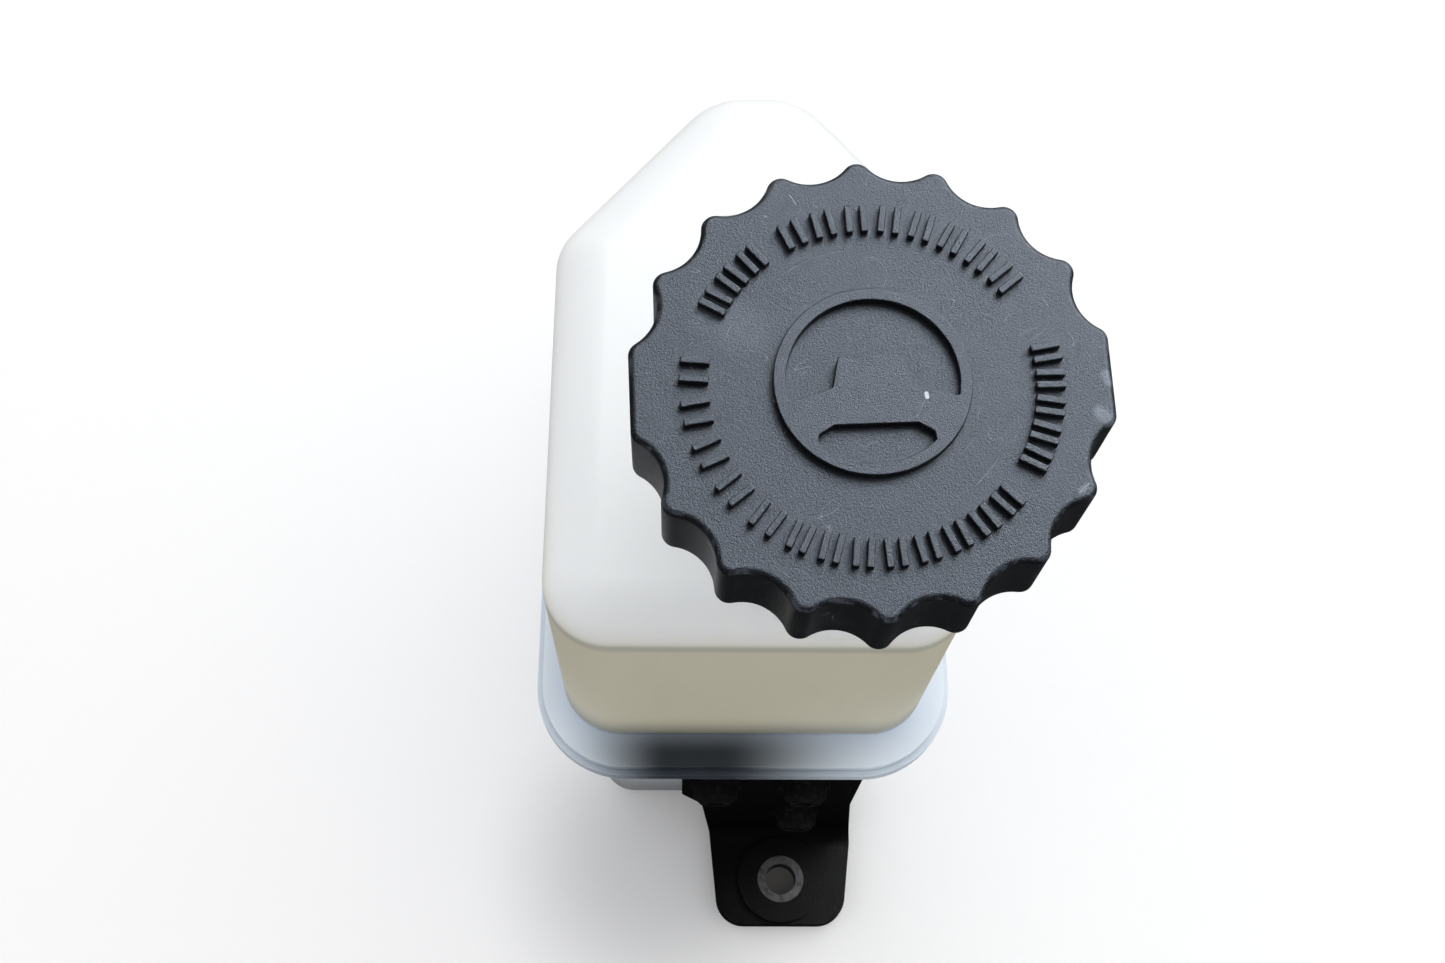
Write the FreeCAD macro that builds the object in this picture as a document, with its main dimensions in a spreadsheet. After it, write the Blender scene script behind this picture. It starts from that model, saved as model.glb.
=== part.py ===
import FreeCAD, Part
import math
import os
import Sketcher

os.makedirs("parts", exist_ok=True)
doc = FreeCAD.newDocument("reservoir")
vec = FreeCAD.Vector
size = doc.addObject("Spreadsheet::Sheet", "size")

# millimetres and degrees; X across the tank, Y from front to back, Z up from the floor
values = {
    # tank in plan, from its centre line and from the filler neck's row
    "wall": 2.5, "frontY": 22.6, "frontHalf": 32.3, "shoulderY": 44.2, "backHalf": 31.2,
    "noseY": 71.6, "noseHalf": 6.2, "frontCorner": 10.5, "shoulderCorner": 9.2, "noseRound": 2.0,
    "noseFill": 0.98, "upperWide": 1.3, "upperBack": 0.9,
    # tank heights
    "weldZ": 79.0, "topZ": 157.0, "topRound": 8.5, "upperDraft": 0.1, "lowerDraft": 1.6,
    "floorRound": 5.0, "upperLipT": 3.0, "lowerLipT": 3.5, "lipOut": 5.2, "lipStep": 1.1,
    "lipCorner": 15.5, "baffleDeep": 4.0, "ledge": 1.6,
    # filler neck
    "neckX": 12.7, "neckR": 21.0, "neckRoot": 7.0, "neckHigh": 43.0, "beadOut": 2.4, "beadDown": 20.0,
    "beadT": 2.0, "beadSlope": 1.2,
    # cap
    "skirtGap": 2.6, "capHigh": 14.0, "capPlate": 3.0, "capTurn": 2.6, "flutePitch": 20.0,
    "fluteDeep": 2.3, "ridgeR": 2.0, "capEdge": 0.9, "capSkirtT": 2.2, "cupGap": 1.7,
    "cupT": 2.2, "cupShort": 0.8, "capRibs": 12, "capRibT": 1.6, "capRibDeep": 6.0, "gasketT": 1.8,
    "gasketWide": 4.1, "slack": 0.2,
    # dipstick and the ring that holds its head
    "headShare": 0.411, "headT": 2.0, "headGap": 0.35, "socketT": 2.2, "keeperT": 1.6, "headLip": 1.6,
    "shankL": 3.4, "bladeHalf": 4.6,
    "bladeT": 2.0, "bladeOver": 17.0, "bladeTip": 2.0, "bladeTaper": 5.0, "bladeRib": 1.0, "bladeRibW": 1.6,
    "markR": 1.3, "markStep": 6.0, "marks": 5, "runFit": 0.06,
    "breatherT": 2.6, "breatherClear": 0.4, "breatherWall": 0.9,
    # filter
    "filterY": 24.0, "spigotR": 8.5, "spigotBore": 5.5, "spigotZ": 30.0, "filterR": 17.0,
    "baseT": 3.0, "baseDrop": 1.5, "hubDeep": 7.0, "hubT": 3.0, "meshT": 0.5, "rimT": 0.8,
    "rimDeep": 2.0, "cageT": 1.6, "cageRibs": 10, "cageRibW": 2.0, "cageRing": 2.0, "valveRoom": 18.0,
    "headPlateT": 2.4, "collarR": 12.0, "collarT": 1.8, "collarSlots": 4, "slotHalf": 5.0, "valveHole": 6.2,
    "seatRing": 1.0, "seatHigh": 0.6, "valveR": 8.2, "valveT": 1.6, "springHub": 2.2, "springR": 4.9,
    "springWire": 0.45, "springTurns": 4.5, "hubFit": 0.35, "sealWire": 1.0, "sealUp": 3.6, "fitGap": 0.1,
    # baffle
    "baffleT": 2.0, "baffleGap": 0.25, "pipT": 1.5, "portR": 2.4, "portOut": 8.3, "ports": 6,
    "drainR": 3.4, "drainGap": 4.0, "drains": 12, "frontRow": 32.0, "frontStep": 18.0,
    # hose nipples
    "nippleZ": 15.0, "returnR": 5.2, "returnBore": 3.5, "returnEnd": 99.0, "ductT": 2.0,
    "suctionX": -16.5, "suctionR": 8.2, "suctionBore": 6.2, "suctionEnd": 91.0, "suctionIn": 42.0,
    "hoseBead": 0.8, "hoseBeadL": 3.0, "hoseTip": 2.0,
    # bracket
    "padOut": 0.2, "plateT": 4.4, "footT": 4.6, "footX": 10.4, "footHalf": 15.5, "footEndHalf": 13.4,
    "footOut": 20.8, "footCorner": 6.0, "bendR": 4.0, "legRight": 23.2, "legLeft": -7.2,
    "plateLeft": -11.3, "plateHigh": 25.3, "plateSlope": 12.0, "plateGap": 1.2, "plateCorner": 4.0,
    "holeIn": 9.6, "sleeveR": 5.0, "sleeveBore": 3.3, "seatR": 9.2, "seatT": 1.0, "sleeveProud": 0.1,
    # bracket fasteners
    "bossR": 6.2, "bossEnd": 2.5, "screwDown": 12.3, "screwApart": 32.0, "screwLeftX": -4.8,
    "screwRightX": 12.4, "insertR": 3.4, "insertT": 8.0, "screwR": 2.0,
    "screwL": 12.0, "screwHeadR": 4.2, "screwHeadT": 3.2, "hexR": 1.75, "hexDeep": 1.8,
    "washerR": 5.0, "washerT": 1.0, "washerGap": 0.2,
}
for row, (word, number) in enumerate(values.items(), start=1):
    size.set("A%d" % row, word)
    size.set("B%d" % row, str(number))
    size.setAlias("B%d" % row, word)
doc.recompute()


def calc(text):
    """number that an expression on the sheet gives now"""
    got = size.evalExpression(text)
    return float(getattr(got, "Value", got))


def tie(thing, prop, text):
    thing.setExpression(prop, text)


# places and radii that follow from the sizes
padY = "(size.frontY + size.padOut)"
baffleZ = "(size.weldZ - size.baffleDeep)"
headZ = "(%s - size.valveRoom)" % baffleZ
plateTop = "(size.weldZ - size.lowerLipT - size.plateGap)"
plateLowZ = "(%s - size.plateHigh)" % plateTop
legHighZ = "(%s - size.plateSlope)" % plateLowZ
screwHighZ = "(%s - size.screwDown)" % plateTop
screwLowZ = "(%s - size.screwApart)" % screwHighZ
rimZ = "(size.topZ + size.neckHigh)"
beadZ = "(%s - size.beadDown)" % rimZ
beadR = "(size.neckR + size.beadOut)"
neckBore = "(size.neckR - size.wall)"
under = "(%s + size.slack + size.gasketT)" % rimZ
capTopZ = "(%s + size.capPlate)" % under
cupIn = "(size.neckR + size.cupGap)"
cupOut = "(%s + size.cupT)" % cupIn
skirtIn = "(%s + size.skirtGap)" % cupOut
capR = "(%s + size.capSkirtT + size.fluteDeep)" % skirtIn
headR = "(%s*size.headShare)" % neckBore
keeperHole = "(%s - size.headLip)" % headR
socketIn = "(%s + size.headGap)" % headR
socketOut = "(%s + size.socketT)" % socketIn
gasketIn = "(size.neckR - size.gasketWide)"
breatherOut = "((%s + %s)/2)" % (gasketIn, socketOut)
breatherR = "((%s - %s)/2 - size.breatherWall - size.breatherClear)" % (gasketIn, socketOut)
bladeEndZ = "(size.weldZ + size.bladeOver)"


def newBody(name):
    body = doc.addObject("PartDesign::Body", name)
    body.Label = name
    return body


def sketchOn(body, role, x="0", y="0", z="0"):
    """sketch on one of the body's own origin planes, its own origin moved by x, y and z in it"""
    sk = body.newObject("Sketcher::SketchObject", body.Name + "_sketch")
    plane = [f for f in body.Origin.OriginFeatures if getattr(f, "Role", "") == role][0]
    sk.AttachmentSupport = (plane, [""])
    sk.MapMode = "FlatFace"
    for side, text in zip("xyz", (x, y, z)):
        if text != "0":
            tie(sk, "AttachmentOffset.Base." + side, text)
    return sk


def pin(sk, where, vertex, x, y):
    """hold a point of the sketch at x and y"""
    for text, kind, line in ((x, "DistanceX", -2), (y, "DistanceY", -1)):
        if text == "0":
            sk.addConstraint(Sketcher.Constraint("PointOnObject", where, vertex, line))
        else:
            at = sk.addConstraint(Sketcher.Constraint(kind, -1, 1, where, vertex, calc(text)))
            tie(sk, "Constraints[%d]" % at, text)


def outline(sk, corners):
    """closed run of straight lines through the corners"""
    spots = [vec(calc(x), calc(y), 0) for x, y in corners]
    count = len(spots)
    first = sk.GeometryCount
    for i in range(count):
        sk.addGeometry(Part.LineSegment(spots[i], spots[(i + 1) % count]), False)
    for i in range(count):
        sk.addConstraint(Sketcher.Constraint("Coincident", first + i, 2, first + (i + 1) % count, 1))
    for i, (x, y) in enumerate(corners):
        pin(sk, first + i, 1, x, y)


def circle(sk, x, y, radius):
    at = sk.addGeometry(Part.Circle(vec(calc(x), calc(y), 0), vec(0, 0, 1), calc(radius)), False)
    pin(sk, at, 3, x, y)
    held = sk.addConstraint(Sketcher.Constraint("Radius", at, calc(radius)))
    tie(sk, "Constraints[%d]" % held, radius)


# the tank's plan: straight sides that draw in to the back, two slanted faces and a blunt nose
slope = "((size.backHalf - size.frontHalf)/(size.shoulderY + size.frontY))"
lean = "sqrt(1 + %s^2)" % slope
slantX = "(size.noseHalf - size.backHalf)"
slantY = "(size.noseY - size.shoulderY)"
slantL = "sqrt(%s^2 + %s^2)" % (slantX, slantY)
growShoulderY = "((%s - %s*%s)/(%s*%s - %s))" % (slantL, slantY, lean, slantY, slope, slantX)
growShoulderX = "(%s*%s + %s)" % (slope, growShoulderY, lean)
growNoseX = "((%s + %s)/%s)" % (slantL, slantX, slantY)
growFrontX = "(%s - %s)" % (lean, slope)
noseCorner = "min(size.noseHalf*size.noseRound; size.noseFill*size.noseHalf/%s)" % growNoseX


def planCorners(grow, high):
    """corners of the plan with every side moved out by grow, counter-clockwise from the front right;
    high is 0 for the lower shell and 1 for the upper one, which is wider and stands back in front"""
    half = [("size.frontHalf + (%s)*%s" % (grow, growFrontX),
             "-size.frontY + (%s)*size.upperBack - (%s)" % (high, grow)),
            ("size.backHalf + (%s)*%s" % (grow, growShoulderX),
             "size.shoulderY + (%s)*%s" % (grow, growShoulderY)),
            ("size.noseHalf + (%s)*%s" % (grow, growNoseX), "size.noseY + (%s)" % grow)]
    half = [("%s + (%s)*size.upperWide" % (x, high), y) for x, y in half]
    return half + [("-(%s)" % x, y) for x, y in reversed(half)]


def plan(sk, grow, radii, high="0"):
    """the tank's plan with rounded corners; radii are those of the front, the shoulder and the nose"""
    places = planCorners(grow, high)
    radii = radii + radii[::-1]
    spots = [vec(calc(x), calc(y), 0) for x, y in places]
    count = len(spots)
    starts, ends, arcs = [], [], []
    for i, (spot, radius) in enumerate(zip(spots, radii)):
        into = (spot - spots[i - 1]).normalize()
        away = (spots[(i + 1) % count] - spot).normalize()
        r = calc(radius)
        back = r * math.tan(into.getAngle(away) / 2)
        starts.append(spot - into * back)
        ends.append(spot + away * back)
        centre = starts[i] + vec(-into.y, into.x, 0) * r
        low = math.atan2(starts[i].y - centre.y, starts[i].x - centre.x)
        arcs.append(Part.ArcOfCircle(Part.Circle(centre, vec(0, 0, 1), r), low, low + into.getAngle(away)))
    first = sk.GeometryCount
    for i in range(count):
        sk.addGeometry(arcs[i], False)
    for i in range(count):
        sk.addGeometry(Part.LineSegment(ends[i], starts[(i + 1) % count]), False)
    for i, (x, y) in enumerate(places):
        before, after = first + count + (i - 1) % count, first + count + i
        sk.addConstraint(Sketcher.Constraint("Tangent", before, 2, first + i, 1))
        sk.addConstraint(Sketcher.Constraint("Tangent", first + i, 2, after, 1))
        held = sk.addConstraint(Sketcher.Constraint("Radius", first + i, calc(radii[i])))
        tie(sk, "Constraints[%d]" % held, radii[i])
        corner = sk.addGeometry(Part.Point(spots[i]), True)
        pin(sk, corner, 1, x, y)
        sk.addConstraint(Sketcher.Constraint("PointOnObject", corner, 1, before))
        sk.addConstraint(Sketcher.Constraint("PointOnObject", corner, 1, after))


def cornerRadii(less):
    """radii of the plan's front, shoulder and nose corners, each smaller by less"""
    return ["%s - (%s)" % (radius, less) for radius in
            ("size.frontCorner", "size.shoulderCorner", noseCorner)]


def feature(body, kind, profile, **ties):
    made = body.newObject("PartDesign::" + kind, body.Name + "_" + kind)
    made.Profile = profile
    profile.Visibility = False
    for prop, text in ties.items():
        if isinstance(text, str) and prop != "SideType":
            tie(made, prop, text)
        else:
            setattr(made, prop, text)
    doc.recompute()
    return made


def turned(body, kind, sk, axis="V_Axis"):
    made = body.newObject("PartDesign::" + kind, body.Name + "_" + kind)
    made.Profile = sk
    made.ReferenceAxis = (sk, [axis])
    made.Angle = 360.0
    sk.Visibility = False
    doc.recompute()
    return made


def rounded(body, kind, base, names, prop, text):
    """fillet or chamfer of the named edges"""
    made = body.newObject("PartDesign::" + kind, body.Name + "_" + kind)
    made.Base = (base, names)
    tie(made, prop, text)
    doc.recompute()
    return made


def edges(base, wanted):
    return ["Edge%d" % (i + 1) for i, e in enumerate(base.Shape.Edges) if wanted(e)]


def middle(edge):
    return edge.valueAt((edge.FirstParameter + edge.LastParameter) / 2)


def steep(edge):
    a, b = edge.Vertexes[0].Point, edge.Vertexes[-1].Point
    return (b - a).Length > 0.5 and abs(b.z - a.z) > 0.9 * (b - a).Length


def repeated(body, originals, axis, count, angle):
    made = body.newObject("PartDesign::PolarPattern", body.Name + "_PolarPattern")
    made.Originals = originals
    made.Axis = axis
    made.Angle = angle
    if isinstance(count, str):
        tie(made, "Occurrences", count)
    else:
        made.Occurrences = count
    body.Tip = made
    doc.recompute()
    return made


def flatEdges(base, level, wanted=lambda p: True):
    """edges that lie in one horizontal plane"""
    atZ = calc(level)
    return edges(base, lambda e: all(abs(v.Z - atZ) < 0.01 for v in e.Vertexes)
                 and abs(middle(e).z - atZ) < 0.01 and wanted(middle(e)))


upper = newBody("upper_shell")
sk = sketchOn(upper, "XY_Plane", z="size.weldZ")
plan(sk, "0", cornerRadii("0"), "1")
block = feature(upper, "Pad", sk, Length="size.topZ - size.weldZ", TaperAngle="-size.upperDraft")
block = rounded(upper, "Fillet", block, flatEdges(block, "size.topZ"), "Radius", "size.topRound")
neckFoot = "size.topZ - size.topRound"
sk = sketchOn(upper, "XZ_Plane", x="size.neckX")
neckRoot = "(size.neckR - size.neckRoot)"
outline(sk, [("0", "size.weldZ"), (neckRoot, "size.weldZ"), ("size.neckR", neckFoot),
             ("size.neckR", "%s - size.beadT - size.beadSlope" % beadZ), (beadR, "%s - size.beadT" % beadZ),
             (beadR, beadZ), ("size.neckR", "%s + size.beadSlope" % beadZ),
             ("size.neckR", rimZ), ("0", rimZ)])
turned(upper, "Revolution", sk)
sk = sketchOn(upper, "XY_Plane", z="size.weldZ")
plan(sk, "size.lipOut", ["size.lipCorner"] * 3)
feature(upper, "Pad", sk, Length="size.upperLipT")
sk = sketchOn(upper, "XY_Plane", z="size.weldZ")
plan(sk, "-size.wall", cornerRadii("size.wall"), "1")
hollow = feature(upper, "Pocket", sk, Length="size.topZ - size.wall - size.weldZ",
                 TaperAngle="-size.upperDraft", Reversed=True)
ceiling = flatEdges(hollow, "size.topZ - size.wall")
hollow = rounded(upper, "Fillet", hollow, ceiling, "Radius", "size.topRound - size.wall")
sk = sketchOn(upper, "XZ_Plane", x="size.neckX")
outline(sk, [("0", "size.weldZ"), ("%s - size.wall" % neckRoot, "size.weldZ"),
             (neckBore, neckFoot), (neckBore, rimZ), ("0", rimZ)])
turned(upper, "Groove", sk)


lower = newBody("lower_shell")
sk = sketchOn(lower, "XY_Plane", z="size.weldZ")
plan(sk, "-size.ledge", cornerRadii("size.ledge"))
sump = feature(lower, "Pad", sk, Length="size.weldZ", TaperAngle="-size.lowerDraft", Reversed=True)
sump = rounded(lower, "Fillet", sump, flatEdges(sump, "0"), "Radius", "size.floorRound")
sk = sketchOn(lower, "XY_Plane", z="size.weldZ")
plan(sk, "0", cornerRadii("0"))
feature(lower, "Pad", sk, Length="size.baffleDeep + size.wall", Reversed=True)
sk = sketchOn(lower, "XY_Plane", z="size.weldZ")
plan(sk, "size.lipOut + size.lipStep", ["size.lipCorner + size.lipStep"] * 3)
feature(lower, "Pad", sk, Length="size.lowerLipT", Reversed=True)
sk = sketchOn(lower, "XY_Plane", z="size.weldZ")
plan(sk, "-size.ledge - size.wall", cornerRadii("size.ledge + size.wall"))
sump = feature(lower, "Pocket", sk, Length="size.weldZ - size.wall", TaperAngle="-size.lowerDraft")
sump = rounded(lower, "Fillet", sump, flatEdges(sump, "size.wall"), "Radius", "size.floorRound - size.wall")
sk = sketchOn(lower, "XY_Plane", z="size.weldZ")
plan(sk, "-size.wall", cornerRadii("size.wall"))
feature(lower, "Pocket", sk, Length="size.baffleDeep")

sk = sketchOn(lower, "YZ_Plane", x="size.filterY")
outline(sk, [("0", "size.wall/2"), ("size.spigotR", "size.wall/2"), ("size.spigotR", "size.spigotZ"),
             ("0", "size.spigotZ")])
turned(lower, "Revolution", sk)


def nipple(x, start, end, radius):
    """solid hose stub along Y with a bead behind its tip"""
    sk = sketchOn(lower, "YZ_Plane", y="size.nippleZ", z=x)
    tip = "(%s - size.hoseTip)" % end
    outline(sk, [(start, "0"), (start, radius), ("%s - size.hoseBeadL" % tip, radius),
                 ("%s - size.hoseBeadL/2" % tip, "%s + size.hoseBead" % radius),
                 (tip, "%s + size.hoseBead" % radius), (end, "%s - size.hoseBead/2" % radius), (end, "0")])
    return turned(lower, "Revolution", sk, "H_Axis")


nipple("size.suctionX", "size.suctionIn", "size.suctionEnd", "size.suctionR")
nipple("0", "size.noseY - size.wall*3", "size.returnEnd", "size.returnR")
sk = sketchOn(lower, "YZ_Plane", y="size.nippleZ")
duct = "size.returnBore + size.ductT"
outline(sk, [("size.filterY", "0"), ("size.filterY", duct), ("size.noseY - size.wall*2.4", duct),
             ("size.noseY - size.wall*2.4", "0")])
turned(lower, "Revolution", sk, "H_Axis")
sk = sketchOn(lower, "XZ_Plane", z=padY)
spots = [("size.screwLeftX", screwHighZ), ("size.screwRightX", screwHighZ),
         ("size.screwRightX", screwLowZ)]
for x, z in spots:
    circle(sk, x, z, "size.bossR")
feature(lower, "Pad", sk, Length="size.insertT + size.wall + size.bossEnd", Reversed=True)
sk = sketchOn(lower, "XZ_Plane", z=padY)
for x, z in spots:
    circle(sk, x, z, "size.insertR")
feature(lower, "Pocket", sk, Length="size.insertT + size.wall")
for x, start, end, bore in (("size.suctionX", "size.suctionIn", "size.suctionEnd", "size.suctionBore"),
                            ("0", "size.filterY", "size.returnEnd", "size.returnBore")):
    sk = sketchOn(lower, "YZ_Plane", y="size.nippleZ", z=x)
    outline(sk, [(start, "0"), (start, bore), (end, bore), (end, "0")])
    turned(lower, "Groove", sk, "H_Axis")
sk = sketchOn(lower, "YZ_Plane", x="size.filterY")
outline(sk, [("0", "size.nippleZ - size.returnBore"), ("size.spigotBore", "size.nippleZ - size.returnBore"),
             ("size.spigotBore", "size.spigotZ"), ("0", "size.spigotZ")])
turned(lower, "Groove", sk)


baffle = newBody("baffle_plate")
sk = sketchOn(baffle, "XY_Plane", z=baffleZ)
plan(sk, "-size.wall - size.baffleGap", cornerRadii("size.wall + size.baffleGap"))
for x in ("0", "size.frontStep", "-size.frontStep"):
    circle(sk, x, "size.filterY - size.frontRow", "size.drainR")
feature(baffle, "Pad", sk, Length="size.baffleT")
sk = sketchOn(baffle, "XY_Plane", y="size.filterY", z=baffleZ)
circle(sk, "0", "0", "size.springR - size.springWire - size.hubFit")
feature(baffle, "Pad", sk, Length="size.pipT", Reversed=True)
for out, radius, count in (("size.portOut", "size.portR", "size.ports"),
                           ("size.collarR + size.collarT + size.drainGap + size.drainR", "size.drainR",
                            "size.drains")):
    sk = sketchOn(baffle, "XY_Plane", y="size.filterY", z=baffleZ)
    circle(sk, out, "0", radius)
    hole = feature(baffle, "Pocket", sk, Length="size.baffleT", Reversed=True)
    repeated(baffle, [hole], (sk, ["N_Axis"]), count, 360.0)


def onFilterAxis(name):
    body = newBody(name)
    tie(body, "Placement.Base.y", "size.filterY")
    return body


baseZ = "(size.spigotZ - size.baseDrop)"
sleeveIn = "(size.filterR - size.rimT - size.fitGap - size.meshT)"
base = onFilterAxis("filter_base")
hubIn = "(size.spigotR + size.fitGap)"
grooveR = "(size.spigotR + 2*size.sealWire + size.fitGap/2)"
hubZ = "(%s - size.hubDeep)" % baseZ
sealZ = "(%s + size.sealUp)" % hubZ
floorZ = "(%s + size.baseT)" % baseZ
rimZ = "(%s + size.rimDeep)" % floorZ
grooveTop = "(%s + size.sealWire + size.fitGap)" % sealZ
grooveLow = "(%s - size.sealWire - size.fitGap)" % sealZ
sk = sketchOn(base, "XZ_Plane")
outline(sk, [(hubIn, hubZ), ("%s + size.hubT" % hubIn, hubZ), ("%s + size.hubT" % hubIn, baseZ),
             ("size.filterR", baseZ), ("size.filterR", rimZ), ("size.filterR - size.rimT", rimZ),
             ("size.filterR - size.rimT", floorZ), ("size.spigotBore", floorZ),
             ("size.spigotBore", "size.spigotZ + size.slack"), (hubIn, "size.spigotZ + size.slack"),
             (hubIn, grooveTop), (grooveR, grooveTop), (grooveR, grooveLow), (hubIn, grooveLow)])
turned(base, "Revolution", sk)

seal = doc.addObject("Part::Torus", "filter_seal")
seal.Label = "filter_seal"
tie(seal, "Radius1", "size.spigotR + size.sealWire + size.fitGap/4")
tie(seal, "Radius2", "size.sealWire")
tie(seal, "Placement.Base.y", "size.filterY")
tie(seal, "Placement.Base.z", sealZ)

cage = onFilterAxis("filter_cage")
sk = sketchOn(cage, "XZ_Plane")
cageOut = "(%s - size.fitGap)" % sleeveIn
outline(sk, [("%s - size.cageT" % cageOut, floorZ), (cageOut, floorZ), (cageOut, headZ),
             ("%s - size.cageT" % cageOut, headZ)])
turned(cage, "Revolution", sk)
sk = sketchOn(cage, "XZ_Plane")
openHalf = "(pi*%s/size.cageRibs - size.cageRibW/2)" % cageOut
rowHigh = "((%s - %s - 3*size.cageRing)/2)" % (headZ, floorZ)
for low in ("%s + size.cageRing" % floorZ, "%s + 2*size.cageRing + %s" % (floorZ, rowHigh)):
    outline(sk, [("-%s" % openHalf, low), (openHalf, low), (openHalf, "%s + %s" % (low, rowHigh)),
                 ("-%s" % openHalf, "%s + %s" % (low, rowHigh))])
window = feature(cage, "Pocket", sk, Length="size.filterR", Reversed=True)
repeated(cage, [window], (sk, ["V_Axis"]), "size.cageRibs", 360.0)

mesh = onFilterAxis("filter_mesh")
sk = sketchOn(mesh, "XZ_Plane")
sleeveOut = "(%s + size.meshT)" % sleeveIn
outline(sk, [(sleeveIn, floorZ), (sleeveOut, floorZ), (sleeveOut, headZ), (sleeveIn, headZ)])
turned(mesh, "Revolution", sk)

head = onFilterAxis("filter_head")
headTop = "(%s + size.headPlateT)" % headZ
seatR = "(size.valveHole + size.seatRing)"
sk = sketchOn(head, "XZ_Plane")
outline(sk, [("size.valveHole", headZ), ("size.filterR - size.rimT", headZ),
             ("size.filterR - size.rimT", "%s - size.rimDeep" % headZ),
             ("size.filterR", "%s - size.rimDeep" % headZ), ("size.filterR", headTop),
             ("size.collarR + size.collarT", headTop),
             ("size.collarR + size.collarT", baffleZ), ("size.collarR", baffleZ), ("size.collarR", headTop),
             (seatR, headTop), (seatR, "%s + size.seatHigh" % headTop),
             ("size.valveHole", "%s + size.seatHigh" % headTop)])
turned(head, "Revolution", sk)
sk = sketchOn(head, "XZ_Plane")
slotLow, slotHigh = "(%s + size.collarT)" % headTop, "(%s - size.collarT*2)" % baffleZ
outline(sk, [("-size.slotHalf", slotLow), ("size.slotHalf", slotLow), ("size.slotHalf", slotHigh),
             ("-size.slotHalf", slotHigh)])
slot = feature(head, "Pocket", sk, Length="size.filterR", Reversed=True)
repeated(head, [slot], (sk, ["V_Axis"]), "size.collarSlots", 360.0)

valveZ = "(%s + size.seatHigh + size.fitGap)" % headTop
disc = onFilterAxis("bypass_disc")
sk = sketchOn(disc, "XZ_Plane")
hubR = "(size.springR - size.springWire - size.hubFit)"
outline(sk, [("0", valveZ), ("size.valveR", valveZ), ("size.valveR", "%s + size.valveT" % valveZ),
             (hubR, "%s + size.valveT" % valveZ), (hubR, "%s + size.valveT + size.springHub" % valveZ),
             ("0", "%s + size.valveT + size.springHub" % valveZ)])
turned(disc, "Revolution", sk)

spring = onFilterAxis("bypass_spring")
springLow = "(%s + size.valveT + size.springWire)" % valveZ
springHigh = "(%s - %s - size.springWire)" % (baffleZ, springLow)
sk = sketchOn(spring, "XZ_Plane")
circle(sk, "size.springR", springLow, "size.springWire")
coil = spring.newObject("PartDesign::AdditiveHelix", "bypass_spring_coil")
coil.Profile = sk
coil.ReferenceAxis = (sk, ["V_Axis"])
coil.Mode = "height-turns-angle"
tie(coil, "Height", springHigh)
tie(coil, "Turns", "size.springTurns")
sk.Visibility = False
doc.recompute()


def onNeckAxis(name, turn=True):
    body = newBody(name)
    tie(body, "Placement.Base.x", "size.neckX")
    if turn:
        body.Placement.Rotation = FreeCAD.Rotation(vec(0, 0, 1), values["capTurn"])
        tie(body, "Placement.Rotation.Angle", "size.capTurn")
    return body


skirtZ = "(%s - size.capHigh)" % capTopZ
keeperTop = "(%s - size.slack - size.headT - size.slack)" % under


def fluted(sk):
    """round outline with a ridge every flutePitch, hollows between them and a flat on either side"""
    pitch = values["flutePitch"]
    count = int(round(360 / pitch))
    ridgeOut = "(%s - size.ridgeR)" % capR
    dip = "(%s - size.fluteDeep - %s*cos(size.flutePitch/2))" % (capR, ridgeOut)
    fluteR = "((%s^2 + (%s*sin(size.flutePitch/2))^2 - size.ridgeR^2)/(2*(size.ridgeR - %s)))" % (
        dip, ridgeOut, dip)
    ridge, hollow, out = values["ridgeR"], calc(fluteR), calc(ridgeOut)
    far = calc(capR) - values["fluteDeep"] + hollow
    away = math.degrees(math.atan2(out * math.sin(math.radians(pitch / 2)),
                                   far - out * math.cos(math.radians(pitch / 2))))
    flats = (0, count // 2)

    def polar(r, angle):
        return vec(r * math.cos(math.radians(angle)), r * math.sin(math.radians(angle)), 0)
    ridges, gaps = [], []
    for i in range(count):
        angle = (i + 0.5) * pitch
        low = angle - pitch / 2 - away if i not in flats else angle - pitch / 2
        high = angle + pitch / 2 + away if (i + 1) % count not in flats else angle + pitch / 2
        round_ = Part.Circle(polar(out, angle), vec(0, 0, 1), ridge)
        ridges.append(sk.addGeometry(Part.ArcOfCircle(round_, math.radians(low), math.radians(high)), False))
    for i in range(count):
        angle = i * pitch
        if i in flats:
            a, b = (polar(out, angle + turn) + polar(ridge, angle) for turn in (-pitch / 2, pitch / 2))
            gaps.append(sk.addGeometry(Part.LineSegment(a, b), False))
        else:
            round_ = Part.Circle(polar(far, angle), vec(0, 0, 1), hollow)
            gaps.append(sk.addGeometry(Part.ArcOfCircle(
                round_, math.radians(angle + 180 - away), math.radians(angle + 180 + away)), False))
    for i in range(count):
        pin(sk, ridges[i], 3, "%s*cos(size.flutePitch*%s)" % (ridgeOut, i + 0.5),
            "%s*sin(size.flutePitch*%s)" % (ridgeOut, i + 0.5) if (i + 0.5) * pitch % 180 else "0")
        held = sk.addConstraint(Sketcher.Constraint("Radius", ridges[i], ridge))
        tie(sk, "Constraints[%d]" % held, "size.ridgeR")
        if i not in flats:
            held = sk.addConstraint(Sketcher.Constraint("Radius", gaps[i], hollow))
            tie(sk, "Constraints[%d]" % held, fluteR)
        nearEnd, farEnd = (1, 2) if i in flats else (2, 1)
        sk.addConstraint(Sketcher.Constraint("Tangent", ridges[i - 1], 2, gaps[i], nearEnd))
        sk.addConstraint(Sketcher.Constraint("Tangent", gaps[i], farEnd, ridges[i], 1))


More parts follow.
